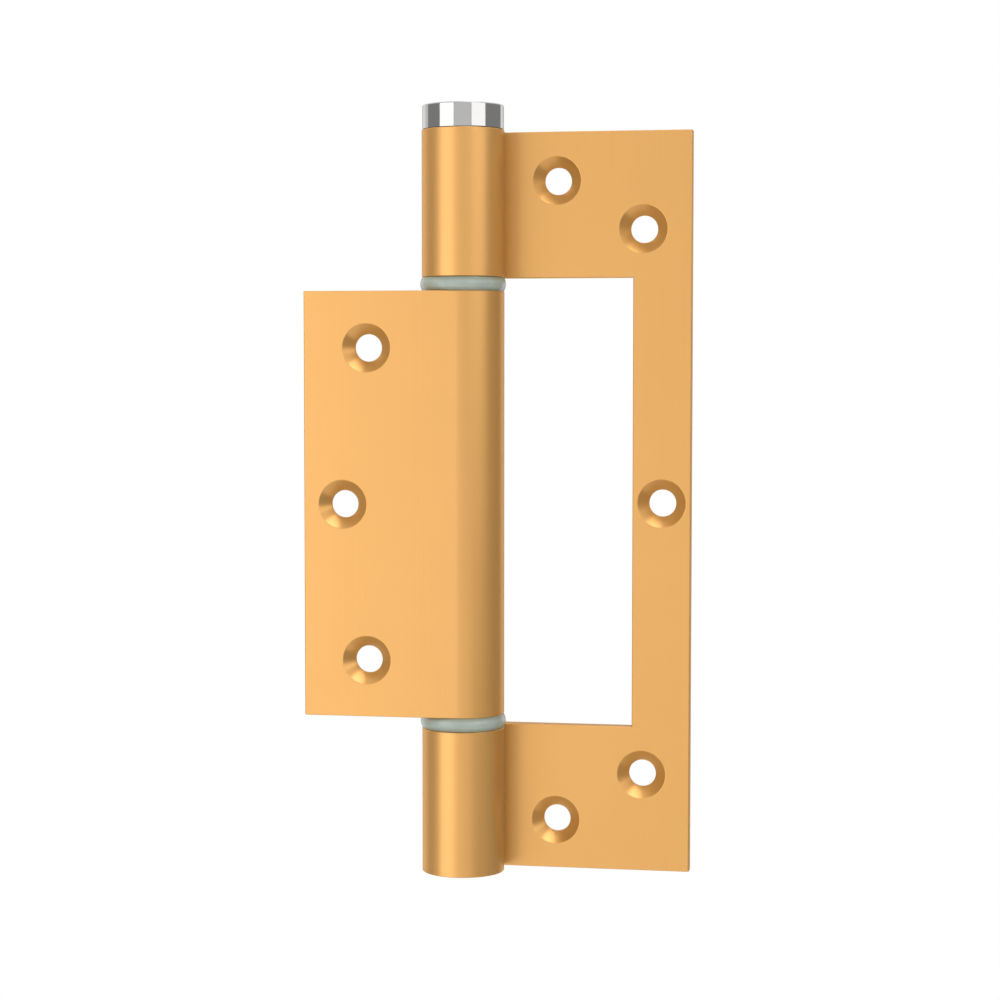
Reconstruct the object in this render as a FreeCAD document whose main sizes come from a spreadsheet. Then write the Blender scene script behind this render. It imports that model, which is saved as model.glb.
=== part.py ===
"""Single action spring hinge: a flush hinge whose door leaf closes into the window of its frame leaf.

The origin is on the pivot axis at mid-height. +Z runs up the barrel, +X towards the frame leaf and
+Y towards the frame that the frame leaf is screwed to. The leaves lie flat open, 180 degrees before
the closed position. Lengths are in millimetres and angles in degrees.
"""

import FreeCAD, Part
import math
import os
import Sketcher

SIZES = {
    # extrusions: the barrel and the two leaves
    "barrel_diameter": 20.0,
    "bore_diameter": 15.0,
    "leaf_thickness": 3.5,
    "neck_radius": 1.5,
    "edge_radius": 0.4,
    "frame_leaf_length": 180.0,
    "frame_leaf_reach": 54.8,
    "door_leaf_length": 102.6,
    "door_leaf_reach": 37.25,
    "knuckle_gap": 3.4,
    "window_clearance": 3.35,
    # keyway that the extrusion die leaves in the bore
    "key_angle": 45.0,
    "key_width": 3.0,
    "key_depth": 1.0,
    "key_clearance": 0.1,
    # countersunk screw holes, placed from the edges of each leaf
    "screw_hole_diameter": 6.6,
    "countersink_diameter": 11.8,
    "countersink_angle": 90.0,
    "frame_hole_margin": 11.8,
    "frame_inner_hole_offset": 21.9,
    "frame_outer_hole_margin": 23.6,
    "door_hole_margin": 13.65,
    "door_hole_offset": 21.8,
    "door_middle_hole_offset": 27.7,
    # fits between the pieces in the barrel
    "shaft_clearance": 0.06,
    "bore_clearance": 0.3,
    "end_play": 0.1,
    # nylon rings between the knuckles
    "ring_diameter": 20.0,
    "ring_bulge": 0.4,
    "ring_land": 2.0,
    "spigot_length": 8.0,
    # cap and hexagon socket for the tension key
    "cap_diameter": 19.7,
    "cap_height": 5.8,
    "cap_chamfer": 0.3,
    "key_flats": 6.0,
    "key_socket_depth": 4.4,
    "shank_length": 8.0,
    "shank_end_gap": 1.0,
    # spindle and what it carries
    "journal_diameter": 10.0,
    "journal_inset": 0.5,
    "mandrel_diameter": 7.0,
    "mandrel_overrun": 1.9,
    "shaft_chamfer": 0.5,
    "washer_thickness": 1.0,
    "washer_diameter": 14.4,
    "holder_length": 11.0,
    "holder_pin_diameter": 3.0,
    "clip_diameter": 12.0,
    "clip_thickness": 0.8,
    "clip_groove_depth": 0.5,
    "clip_slot_width": 4.0,
    # torsion spring of square wire
    "wire_width": 2.0,
    "coil_diameter": 11.0,
    "coil_turns": 20.0,
    "coil_end_gap": 0.75,
    "leg_bend_radius": 2.2,
    "leg_length": 7.0,
    "leg_clearance": 0.2,
    # grub screws that lock the spindle and the lower pivot, on the side away from the leaf
    "grub_angle": 150.0,
    "grub_diameter": 5.0,
    "grub_recess": 0.4,
    "grub_flats": 2.5,
    "grub_socket_depth": 2.4,
    "groove_depth": 0.8,
    "groove_width": 5.6,
    # lower pivot and the plug under it
    "pivot_overlap": 6.3,
    "plug_height": 4.0,
    "plug_inset": 0.2,
}

COIL_STEPS_PER_TURN = 12
BEND_STEPS = 5

# Sizes that follow from the driving ones, as text for the expressions.
BARREL = "Sizes.barrel_diameter / 2"
BORE = "Sizes.bore_diameter / 2"
LEAF_FRONT = f"({BARREL} - Sizes.leaf_thickness)"
FRAME_END = "Sizes.frame_leaf_length / 2"
DOOR_END = "Sizes.door_leaf_length / 2"
KNUCKLE_END = f"({DOOR_END} + Sizes.knuckle_gap)"
WINDOW_EDGE = "(Sizes.door_leaf_reach + Sizes.window_clearance)"
GRUB_HEIGHT = f"(({FRAME_END} + {KNUCKLE_END}) / 2)"
JOURNAL = "Sizes.journal_diameter / 2"
MANDREL = "Sizes.mandrel_diameter / 2"
RUNNING_BORE = f"({JOURNAL} + Sizes.shaft_clearance)"
SLEEVE_TOP = f"({FRAME_END} - Sizes.journal_inset)"
SLEEVE_BOTTOM = f"({KNUCKLE_END} + Sizes.bore_clearance)"
SPIGOT_END = f"({DOOR_END} - Sizes.spigot_length)"
WASHER_TOP = f"({SPIGOT_END} - Sizes.end_play)"
HOLDER_OUTER_END = f"({WASHER_TOP} - Sizes.washer_thickness - Sizes.end_play)"
HOLDER_FACE = f"({HOLDER_OUTER_END} - Sizes.holder_length)"
MANDREL_END = f"({HOLDER_OUTER_END} + Sizes.mandrel_overrun)"
CLIP_TOP = f"({HOLDER_OUTER_END} + Sizes.end_play)"
CLIP_BOTTOM = f"({CLIP_TOP} + Sizes.clip_thickness)"
PIVOT_TOP = f"({DOOR_END} - Sizes.pivot_overlap)"
PLUG_TOP = f"({FRAME_END} - Sizes.plug_inset - Sizes.plug_height)"
CAP_BOTTOM = f"({FRAME_END} + Sizes.end_play)"
HOLDER_MIDDLE = f"({HOLDER_OUTER_END} + {HOLDER_FACE}) / 2"
HOLDER_RADIUS = f"({BORE} - Sizes.bore_clearance)"
GROOVE_RADIUS = f"({JOURNAL} - Sizes.groove_depth)"
GROOVE_TOP = f"({GRUB_HEIGHT} + Sizes.groove_width / 2)"
GROOVE_BOTTOM = f"({GRUB_HEIGHT} - Sizes.groove_width / 2)"
CLIP_GROOVE_RADIUS = f"({MANDREL} - Sizes.clip_groove_depth)"
RIGHT_THROUGH = "(2 * Sizes.barrel_diameter)"

# Where the spring's legs stand: the wire turns up in a bend and leaves the coil's cylinder a little.
FACE_GAP = "(Sizes.wire_width / 2 + Sizes.coil_end_gap)"
PITCH = f"(2 * ({HOLDER_FACE} - {FACE_GAP}) / Sizes.coil_turns)"
LEAD_ANGLE = f"atan({PITCH} / (pi * Sizes.coil_diameter))"
LEG_SIDESTEP = f"(Sizes.leg_bend_radius * (1 - sin({LEAD_ANGLE})))"
LEG_RADIUS = f"sqrt((Sizes.coil_diameter / 2) ^ 2 + {LEG_SIDESTEP} ^ 2)"
LEG_REACH = "(Sizes.wire_width * sqrt(2) + Sizes.leg_clearance) / 2"

doc = FreeCAD.newDocument("SpringHinge")
sheet = doc.addObject("Spreadsheet::Sheet", "Sizes")
for row, (alias, value) in enumerate(SIZES.items(), start=1):
    sheet.set(f"A{row}", alias)
    sheet.set(f"B{row}", str(value))
    sheet.setAlias(f"B{row}", alias)
doc.recompute()


def value_of(expression):
    """The present value of an expression on the sheet, as a plain number."""
    return float(sheet.evalExpression(expression))


def new_body(name):
    body = doc.addObject("PartDesign::Body", name)
    body.Label = name
    return body


def sketch_on(body, role, name, offset=None, turn=None):
    """A sketch on one of the body's own planes, moved along its normal by offset.

    turn is a pair, an axis of the sketch and an angle, by which it is turned about its origin.
    """
    sketch = body.newObject("Sketcher::SketchObject", name)
    plane = next(f for f in body.Origin.OriginFeatures if f.Role == role)
    sketch.AttachmentSupport = [(plane, "")]
    sketch.MapMode = "FlatFace"
    if turn is not None:
        axis, angle = turn
        sketch.AttachmentOffset = FreeCAD.Placement(
            FreeCAD.Vector(), FreeCAD.Rotation(FreeCAD.Vector(*axis), value_of(angle))
        )
        sketch.setExpression("AttachmentOffset.Rotation.Angle", angle)
    if offset is not None:
        sketch.setExpression("AttachmentOffset.Base.z", offset)
    return sketch


def pin_point(sketch, geometry, end, across, up):
    """Holds one end of a piece of geometry at a place given by two expressions."""
    for kind, axis, expression in (("DistanceX", -2, across), ("DistanceY", -1, up)):
        if expression == "0":
            sketch.addConstraint(Sketcher.Constraint("PointOnObject", geometry, end, axis))
            continue
        number = sketch.addConstraint(
            Sketcher.Constraint(kind, -1, 1, geometry, end, value_of(expression))
        )
        sketch.setExpression(f"Constraints[{number}]", expression)


def outline(sketch, corners):
    """A closed polygon, each corner a pair of expressions: across, up."""
    points = [FreeCAD.Vector(value_of(a), value_of(u), 0) for a, u in corners]
    lines = [
        sketch.addGeometry(Part.LineSegment(point, points[(k + 1) % len(points)]))
        for k, point in enumerate(points)
    ]
    for k, line in enumerate(lines):
        sketch.addConstraint(Sketcher.Constraint("Coincident", lines[k - 1], 2, line, 1))
        pin_point(sketch, line, 1, *corners[k])


def circle(sketch, diameter, across="0", up="0"):
    centre = FreeCAD.Vector(value_of(across), value_of(up), 0)
    ring = sketch.addGeometry(
        Part.Circle(centre, FreeCAD.Vector(0, 0, 1), value_of(diameter) / 2)
    )
    number = sketch.addConstraint(Sketcher.Constraint("Diameter", ring, value_of(diameter)))
    sketch.setExpression(f"Constraints[{number}]", diameter)
    pin_point(sketch, ring, 3, across, up)


def box_outline(sketch, left, right, bottom, top):
    outline(sketch, [(left, bottom), (right, bottom), (right, top), (left, top)])


def hexagon(sketch, flats, across="0", up="0"):
    """A hexagon with two flats facing up and down, by its size across the flats."""
    corner = f"({flats}) / 2 / cos(30 deg)"
    outline(
        sketch,
        [
            (f"{across} + {corner} * cos({60 * k} deg)", f"{up} + {corner} * sin({60 * k} deg)")
            for k in range(6)
        ],
    )


def pad(body, sketch, length, midplane=False, reverse=False):
    feature = body.newObject("PartDesign::Pad", sketch.Name + "_pad")
    feature.Profile = sketch
    feature.Midplane = midplane
    feature.Reversed = reverse
    feature.setExpression("Length", length)
    return feature


def cut(body, sketch, length, midplane=False, reverse=False):
    """A pocket that must take material away, whatever the side it opens to."""
    doc.recompute()
    before = body.Shape.Volume
    feature = body.newObject("PartDesign::Pocket", sketch.Name + "_cut")
    feature.Profile = sketch
    feature.Midplane = midplane
    feature.Reversed = reverse
    feature.setExpression("Length", length)
    doc.recompute()
    if not body.Shape.Volume < before:
        raise RuntimeError(f"{feature.Name} cuts nothing")
    return feature


def turned(body, corners, axis="V_Axis"):
    """A solid of revolution; each corner is radius and height, or place and radius about H_Axis."""
    sketch = sketch_on(body, "XZ_Plane", body.Name + "_section")
    outline(sketch, corners)
    feature = body.newObject("PartDesign::Revolution", body.Name + "_turned")
    feature.Profile = sketch
    feature.ReferenceAxis = (sketch, [axis])
    feature.Angle = 360
    return feature


def tube_corners(inner, outer, bottom, top):
    return [(inner, bottom), (outer, bottom), (outer, top), (inner, top)]


def leaf_section(sketch, reach, side):
    """The die's outline: a barrel whose tangent runs out into the leaf, with a small round in the corner.

    side is 1 for the frame leaf, which lies towards +X behind the axis, and -1 for the door leaf,
    which is the same section turned half a turn.
    """
    barrel = value_of(BARREL)
    neck = value_of("Sizes.neck_radius")
    edge = value_of("Sizes.edge_radius")
    tip = value_of(reach)
    front = value_of(LEAF_FRONT)
    neck_x = math.sqrt((barrel + neck) ** 2 - (front - neck) ** 2)
    neck_angle = math.atan2(front - neck, neck_x)
    shift = 0 if side > 0 else math.pi

    def point(x, y):
        return FreeCAD.Vector(side * x, side * y, 0)

    def arc(x, y, radius, start, end):
        whole = Part.Circle(point(x, y), FreeCAD.Vector(0, 0, 1), radius)
        return sketch.addGeometry(Part.ArcOfCircle(whole, start + shift, end + shift))

    def line(x1, y1, x2, y2):
        return sketch.addGeometry(Part.LineSegment(point(x1, y1), point(x2, y2)))

    quarter = math.pi / 2
    round_barrel = arc(0, 0, barrel, quarter, 4 * quarter + neck_angle)
    round_neck = arc(neck_x, front - neck, neck, quarter, 2 * quarter + neck_angle)
    front_line = line(neck_x, front, tip - edge, front)
    front_edge = arc(tip - edge, front + edge, edge, -quarter, 0)
    tip_line = line(tip, front + edge, tip, barrel - edge)
    back_edge = arc(tip - edge, barrel - edge, edge, 0, quarter)
    back_line = line(tip - edge, barrel, 0, barrel)

    touches = (
        (round_barrel, 2, round_neck, 2),
        (round_neck, 1, front_line, 1),
        (front_line, 2, front_edge, 1),
        (front_edge, 2, tip_line, 1),
        (tip_line, 2, back_edge, 1),
        (back_edge, 2, back_line, 1),
        (back_line, 2, round_barrel, 1),
    )
    for first, first_end, second, second_end in touches:
        sketch.addConstraint(
            Sketcher.Constraint("Tangent", first, first_end, second, second_end)
        )
    sketch.addConstraint(Sketcher.Constraint("Coincident", round_barrel, 3, -1, 1))
    sketch.addConstraint(Sketcher.Constraint("Horizontal", back_line))
    sketch.addConstraint(Sketcher.Constraint("Horizontal", front_line))
    sketch.addConstraint(Sketcher.Constraint("Vertical", tip_line))
    sketch.addConstraint(Sketcher.Constraint("Equal", front_edge, back_edge))
    for kind, places, expression in (
        ("Radius", (round_barrel,), BARREL),
        ("Radius", (round_neck,), "Sizes.neck_radius"),
        ("Radius", (front_edge,), "Sizes.edge_radius"),
        ("DistanceY", (-1, 1, front_line, 1), f"{side} * {LEAF_FRONT}"),
        ("DistanceX", (-1, 1, tip_line, 1), f"{side} * {reach}"),
    ):
        number = sketch.addConstraint(
            Sketcher.Constraint(kind, *places, value_of(expression))
        )
        sketch.setExpression(f"Constraints[{number}]", expression)
    circle(sketch, "Sizes.bore_diameter")


def key_direction(side):
    return "Sizes.key_angle" if side > 0 else "Sizes.key_angle + 180"


def key_rib(body, side, bottom, length):
    """A rib on a pressed-in piece, which fills the keyway of the bore but for a small clearance."""
    turn = ((0, 0, 1), key_direction(side))
    sketch = sketch_on(body, "XY_Plane", body.Name + "_key", offset=bottom, turn=turn)
    half_width = "(Sizes.key_width / 2 - Sizes.key_clearance)"
    box_outline(
        sketch,
        f"{BORE} - Sizes.key_depth",
        f"{BORE} + Sizes.key_depth - Sizes.key_clearance",
        f"-{half_width}",
        half_width,
    )
    pad(body, sketch, length)


def extruded_leaf(name, reach, length, side):
    """The sawn-off extrusion: barrel, leaf and bore, with the keyway along the thick root."""
    body = new_body(name)
    section = sketch_on(body, "XY_Plane", name + "_section")
    leaf_section(section, reach, side)
    pad(body, section, length, midplane=True)
    keyway = sketch_on(
        body, "XY_Plane", name + "_keyway", turn=((0, 0, 1), key_direction(side))
    )
    box_outline(
        keyway, "0", f"{BORE} + Sizes.key_depth", "-Sizes.key_width / 2", "Sizes.key_width / 2"
    )
    cut(body, keyway, length, midplane=True)
    return body


def countersunk_holes(body, face, places):
    """Countersunk holes from the leaf's front face at y = face, at places (x, z)."""
    sketch = sketch_on(body, "XZ_Plane", body.Name + "_hole_centres", offset=f"-({face})")
    for x, z in places:
        circle(sketch, "Sizes.screw_hole_diameter", x, z)
    doc.recompute()
    before = body.Shape.Volume
    hole = body.newObject("PartDesign::Hole", body.Name + "_screw_holes")
    hole.Profile = sketch
    hole.Threaded = False
    hole.DepthType = "ThroughAll"
    hole.HoleCutType = "Countersink"
    hole.HoleCutCustomValues = True
    hole.setExpression("Diameter", "Sizes.screw_hole_diameter")
    hole.setExpression("HoleCutDiameter", "Sizes.countersink_diameter")
    hole.setExpression("HoleCutCountersinkAngle", "Sizes.countersink_angle")
    doc.recompute()
    if not body.Shape.Volume < before:
        raise RuntimeError(f"{hole.Name} cuts nothing")


def grub_hole(body, name, height):
    """The radial hole for a grub screw, from the axis out through one side of a tube."""
    turn = ((0, 1, 0), "Sizes.grub_angle + 90")
    sketch = sketch_on(body, "XZ_Plane", name, turn=turn)
    circle(sketch, "Sizes.grub_diameter", up=height)
    cut(body, sketch, RIGHT_THROUGH, reverse=True)


# Frame leaf: one aluminium extrusion, milled to a C that leaves the window and both end knuckles.
frame_leaf = extruded_leaf("frame_leaf", "Sizes.frame_leaf_reach", "Sizes.frame_leaf_length", 1)
window = sketch_on(frame_leaf, "XZ_Plane", "window")
box_outline(window, f"-{RIGHT_THROUGH}", WINDOW_EDGE, f"-{KNUCKLE_END}", KNUCKLE_END)
cut(frame_leaf, window, RIGHT_THROUGH, midplane=True)
frame_holes = [(f"({WINDOW_EDGE} + Sizes.frame_leaf_reach) / 2", "0")]
for sign in ("-", ""):
    inner_height = f"{sign}({FRAME_END} - Sizes.frame_hole_margin)"
    outer_height = f"{sign}({FRAME_END} - Sizes.frame_outer_hole_margin)"
    frame_holes.append(("Sizes.frame_inner_hole_offset", inner_height))
    frame_holes.append(("Sizes.frame_leaf_reach - Sizes.frame_hole_margin", outer_height))
countersunk_holes(frame_leaf, LEAF_FRONT, frame_holes)
grub_hole(frame_leaf, "frame_upper_grub_hole", GRUB_HEIGHT)
grub_hole(frame_leaf, "frame_lower_grub_hole", f"-{GRUB_HEIGHT}")

# Door leaf: the same section turned half a turn, sawn to the length of the middle knuckle.
door_leaf = extruded_leaf("door_leaf", "Sizes.door_leaf_reach", "Sizes.door_leaf_length", -1)
door_holes = [("-Sizes.door_middle_hole_offset", "0")]
for sign in ("-", ""):
    corner_height = f"{sign}({DOOR_END} - Sizes.door_hole_margin)"
    door_holes.append(("-Sizes.door_hole_offset", corner_height))
countersunk_holes(door_leaf, f"-{BARREL}", door_holes)


def knuckle_ring(name, side):
    """A moulded nylon ring with a bulging rim, and a spigot pressed into the middle knuckle."""
    rim = "Sizes.ring_diameter / 2"
    crest = f"{rim} + Sizes.ring_bulge"
    low = f"{side} * {DOOR_END}"
    high = f"{side} * ({KNUCKLE_END} - Sizes.end_play)"
    end = f"{side} * {SPIGOT_END}"
    middle = f"({low} + {high}) / 2"
    half_land = f"{side} * Sizes.ring_land / 2"
    turned(
        new_body(name),
        [
            (rim, low),
            (crest, f"{middle} - {half_land}"),
            (crest, f"{middle} + {half_land}"),
            (rim, high),
            (RUNNING_BORE, high),
            (RUNNING_BORE, end),
            (BORE, end),
            (BORE, low),
        ],
    )


knuckle_ring("upper_ring", 1)
knuckle_ring("lower_ring", -1)

# Top cap: polished steel, turned, with a hexagon socket above and a hexagon shank into the spindle.
top_cap = new_body("top_cap")
cap_radius = "Sizes.cap_diameter / 2"
cap_top = f"({CAP_BOTTOM} + Sizes.cap_height)"
turned(
    top_cap,
    [
        ("0", CAP_BOTTOM),
        (cap_radius, CAP_BOTTOM),
        (cap_radius, f"{cap_top} - Sizes.cap_chamfer"),
        (f"{cap_radius} - Sizes.cap_chamfer", cap_top),
        ("0", cap_top),
    ],
)
shank = sketch_on(top_cap, "XY_Plane", "cap_shank", offset=CAP_BOTTOM)
hexagon(shank, "Sizes.key_flats")
pad(top_cap, shank, "Sizes.shank_length", reverse=True)
key_socket = sketch_on(top_cap, "XY_Plane", "cap_socket", offset=cap_top)
hexagon(key_socket, "Sizes.key_flats")
cut(top_cap, key_socket, "Sizes.key_socket_depth")

# Tension spindle: turned steel, a journal in the upper knuckle and a mandrel through the coils.
tension_spindle = new_body("tension_spindle")
turned(
    tension_spindle,
    [
        ("0", f"-{MANDREL_END}"),
        (f"{MANDREL} - Sizes.shaft_chamfer", f"-{MANDREL_END}"),
        (MANDREL, f"-({MANDREL_END} - Sizes.shaft_chamfer)"),
        (MANDREL, f"-{CLIP_BOTTOM}"),
        (CLIP_GROOVE_RADIUS, f"-{CLIP_BOTTOM}"),
        (CLIP_GROOVE_RADIUS, f"-{CLIP_TOP}"),
        (MANDREL, f"-{CLIP_TOP}"),
        (MANDREL, HOLDER_OUTER_END),
        (JOURNAL, HOLDER_OUTER_END),
        (JOURNAL, GROOVE_BOTTOM),
        (GROOVE_RADIUS, GROOVE_BOTTOM),
        (GROOVE_RADIUS, GROOVE_TOP),
        (JOURNAL, GROOVE_TOP),
        (JOURNAL, SLEEVE_TOP),
        ("0", SLEEVE_TOP),
    ],
)
shank_socket = sketch_on(tension_spindle, "XY_Plane", "spindle_socket", offset=SLEEVE_TOP)
hexagon(shank_socket, "Sizes.key_flats")
cut(tension_spindle, shank_socket, "Sizes.shank_length + Sizes.shank_end_gap")
pin_hole = sketch_on(tension_spindle, "XZ_Plane", "spindle_pin_hole")
circle(pin_hole, "Sizes.holder_pin_diameter", up=HOLDER_MIDDLE)
cut(tension_spindle, pin_hole, RIGHT_THROUGH, midplane=True)


def knuckle_sleeve(name, inner, bottom, top, grub_side):
    """A sleeve pressed into an end knuckle, with the grub screw's hole through its wall."""
    body = new_body(name)
    turned(body, tube_corners(inner, BORE, bottom, top))
    grub_hole(body, name + "_grub_hole", f"{grub_side} * {GRUB_HEIGHT}")


knuckle_sleeve("upper_sleeve", RUNNING_BORE, SLEEVE_BOTTOM, SLEEVE_TOP, 1)
knuckle_sleeve("lower_sleeve", JOURNAL, f"-{PLUG_TOP}", f"-{SLEEVE_BOTTOM}", -1)

# Lower pivot: a ground steel pin in the lower sleeve, with a flat for its screw.
lower_pivot = new_body("lower_pivot")
turned(
    lower_pivot,
    [
        ("0", f"-{PLUG_TOP}"),
        (JOURNAL, f"-{PLUG_TOP}"),
        (JOURNAL, f"-({PIVOT_TOP} + Sizes.shaft_chamfer)"),
        (f"{JOURNAL} - Sizes.shaft_chamfer", f"-{PIVOT_TOP}"),
        ("0", f"-{PIVOT_TOP}"),
    ],
)
screw_flat = sketch_on(
    lower_pivot, "XY_Plane", "screw_flat", f"-{GROOVE_TOP}", ((0, 0, 1), "Sizes.grub_angle")
)
box_outline(screw_flat, GROOVE_RADIUS, RIGHT_THROUGH, f"-{RIGHT_THROUGH}", RIGHT_THROUGH)
cut(lower_pivot, screw_flat, "Sizes.groove_width", reverse=True)

# Bottom plug: a moulded disc pressed into the lower knuckle, just inside its end.
bottom_plug = new_body("bottom_plug")
plug_bottom = f"-({PLUG_TOP} + Sizes.plug_height)"
plug_section = sketch_on(bottom_plug, "XY_Plane", "plug_section", offset=plug_bottom)
circle(plug_section, "Sizes.bore_diameter")
pad(bottom_plug, plug_section, "Sizes.plug_height")
key_rib(bottom_plug, 1, plug_bottom, "Sizes.plug_height")

# Thrust washer: steel, between the upper ring's spigot and the spring holder.
thrust_washer = new_body("thrust_washer")
turned(
    thrust_washer,
    tube_corners(
        f"{JOURNAL} + Sizes.end_play",
        "Sizes.washer_diameter / 2",
        f"{WASHER_TOP} - Sizes.washer_thickness",
        WASHER_TOP,
    ),
)


def leg_slot(body, face, up):
    """The slot for a leg of the spring, open to the outside, from the holder's inner face."""
    sketch = sketch_on(body, "XY_Plane", body.Name + "_leg_slot", offset=face)
    box_outline(
        sketch, f"{LEG_RADIUS} - {LEG_REACH}", RIGHT_THROUGH, f"-{LEG_REACH}", LEG_REACH
    )
    depth = "Sizes.leg_length + Sizes.leg_bend_radius - Sizes.coil_end_gap"
    cut(body, sketch, depth, reverse=up)


# Upper spring holder: steel, pinned to the spindle, turns free in the middle knuckle.
upper_holder = new_body("upper_spring_holder")
turned(
    upper_holder,
    tube_corners(MANDREL, HOLDER_RADIUS, HOLDER_FACE, HOLDER_OUTER_END),
)
leg_slot(upper_holder, HOLDER_FACE, True)
holder_pin_hole = sketch_on(upper_holder, "XZ_Plane", "holder_pin_hole")
circle(holder_pin_hole, "Sizes.holder_pin_diameter", up=HOLDER_MIDDLE)
cut(upper_holder, holder_pin_hole, RIGHT_THROUGH, midplane=True)

# Holder pin: a dowel across the spindle and the upper holder, just short of the holder's outside.
holder_pin = new_body("holder_pin")
pin_section = sketch_on(holder_pin, "XZ_Plane", "pin_section")
circle(pin_section, "Sizes.holder_pin_diameter", up=HOLDER_MIDDLE)
pad(holder_pin, pin_section, f"2 * ({HOLDER_RADIUS} - Sizes.bore_clearance)", midplane=True)

# Lower spring holder: steel, pressed into the middle knuckle, its key in the keyway of the bore.
lower_holder = new_body("lower_spring_holder")
turned(
    lower_holder,
    tube_corners(
        f"{MANDREL} + Sizes.shaft_clearance", BORE, f"-{HOLDER_OUTER_END}", f"-{HOLDER_FACE}"
    ),
)
key_rib(lower_holder, -1, f"-{HOLDER_OUTER_END}", "Sizes.holder_length")
leg_slot(lower_holder, f"-{HOLDER_FACE}", False)

# Spindle clip: a sprung steel clip with an open side, in the groove under the lower holder.
spindle_clip = new_body("spindle_clip")
turned(
    spindle_clip,
    tube_corners(CLIP_GROOVE_RADIUS, "Sizes.clip_diameter / 2", f"-{CLIP_BOTTOM}", f"-{CLIP_TOP}"),
)
clip_mouth = sketch_on(spindle_clip, "XY_Plane", "clip_mouth", offset=f"-{CLIP_TOP}")
box_outline(
    clip_mouth, "0", RIGHT_THROUGH, "-Sizes.clip_slot_width / 2", "Sizes.clip_slot_width / 2"
)
cut(spindle_clip, clip_mouth, RIGHT_THROUGH)


def grub_screw(name, side):
    """A grub screw along +X of its body, turned about the axis to the hidden side of the barrel."""
    body = new_body(name)
    point = f"({GROOVE_RADIUS} + Sizes.shaft_clearance)"
    head = f"({BARREL} - Sizes.grub_recess)"
    radius = "Sizes.grub_diameter / 2"
    turned(body, [(point, "0"), (point, radius), (head, radius), (head, "0")], axis="H_Axis")
    socket = sketch_on(body, "YZ_Plane", name + "_socket", offset=head)
    hexagon(socket, "Sizes.grub_flats")
    cut(body, socket, "Sizes.grub_socket_depth")
    body.Placement.Rotation = FreeCAD.Rotation(FreeCAD.Vector(0, 0, 1), 1.0)
    body.setExpression("Placement.Rotation.Angle", "Sizes.grub_angle")
    body.setExpression("Placement.Base.z", f"{side} * {GRUB_HEIGHT}")


grub_screw("lock_screw", 1)
grub_screw("pivot_screw", -1)


def coil_spring():
    """A right-handed coil of square wire, each end bent to a straight leg along the axis.

    The solid is a chain of the wire's square section: up one leg, round its bend, through the coil
    and out again. Each stretch has flat sides, so the coil is a many-sided one.
    """
    radius = value_of("Sizes.coil_diameter / 2")
    half_wire = value_of("Sizes.wire_width / 2")
    bend = value_of("Sizes.leg_bend_radius")
    leg = value_of("Sizes.leg_length")
    pitch = value_of(PITCH)
    lead = math.atan(pitch / (2 * math.pi * radius))
    leg_turn = math.atan2(bend * (1 - math.sin(lead)), radius)
    swept = 2 * math.pi * value_of("Sizes.coil_turns") - 2 * leg_turn
    steps = round(swept / (2 * math.pi) * COIL_STEPS_PER_TURN)
    rise = FreeCAD.Vector(0, 0, 1)

    def section(centre, out, up):
        """The four corners of the wire about its centre, from its radial and upward directions."""
        return [
            centre + out * (a * half_wire) + up * (b * half_wire)
            for a, b in ((-1, -1), (1, -1), (1, 1), (-1, 1))
        ]

    def leg_sections(end):
        """The sections of a bend and its leg, from the end of the coil outwards."""
        angle = -end * leg_turn
        out = FreeCAD.Vector(math.cos(angle), math.sin(angle), 0)
        tangent = FreeCAD.Vector(-math.sin(angle), math.cos(angle), 0)
        start = out * radius + rise * (end * pitch * swept / (4 * math.pi))
        pivot = start + (rise * math.cos(lead) - tangent * math.sin(lead)) * (end * bend)
        found = []
        for k in range(BEND_STEPS + 1):
            slope = lead + (math.pi / 2 - lead) * k / BEND_STEPS
            up = rise * math.cos(slope) - tangent * math.sin(slope)
            found.append(section(pivot - up * (end * bend), out, up))
        found.append([corner + rise * (end * leg) for corner in found[-1]])
        return found

    chain = leg_sections(-1)[::-1]
    for k in range(1, steps):
        angle = leg_turn + swept * k / steps
        out = FreeCAD.Vector(math.cos(angle), math.sin(angle), 0)
        height = pitch * swept / (2 * math.pi) * (k / steps - 0.5)
        chain.append(section(out * radius + rise * height, out, rise))
    chain += leg_sections(1)

    faces = [Part.Face(Part.makePolygon(end + end[:1])) for end in (chain[0], chain[-1])]
    for this, following in zip(chain, chain[1:]):
        for k in range(4):
            side = [this[k], this[k - 3], following[k - 3], following[k]]
            for triangle in ((side[0], side[1], side[2]), (side[0], side[2], side[3])):
                faces.append(Part.Face(Part.makePolygon([*triangle, triangle[0]])))
    shell = Part.Shell(faces)
    shell.sewShape()
    solid = Part.Solid(shell)
    if solid.Volume < 0:
        solid.reverse()
    return solid.removeSplitter()


spring = doc.addObject("Part::Feature", "torsion_spring")
spring.Label = "torsion_spring"
spring.Shape = coil_spring()
spring.Placement = FreeCAD.Placement()

doc.recompute()

subparts = [o for o in doc.Objects if o.TypeId == "PartDesign::Body"] + [spring]
for item in doc.Objects:
    if "Invalid" in item.State or "Error" in item.State:
        raise RuntimeError(f"{item.Name} did not build: {item.State}")
for item in subparts:
    shape = item.Shape
    if shape.isNull() or not shape.isValid() or len(shape.Solids) != 1:
        raise RuntimeError(f"{item.Label} is not one valid solid")

os.makedirs("parts", exist_ok=True)
for item in subparts:
    item.Shape.exportStep(f"parts/{item.Label}.step")
    print(f"{item.Label}: {item.Shape.Volume:.1f} mm3")
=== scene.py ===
import math

import bmesh
import bpy
from mathutils import Matrix, Vector


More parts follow.
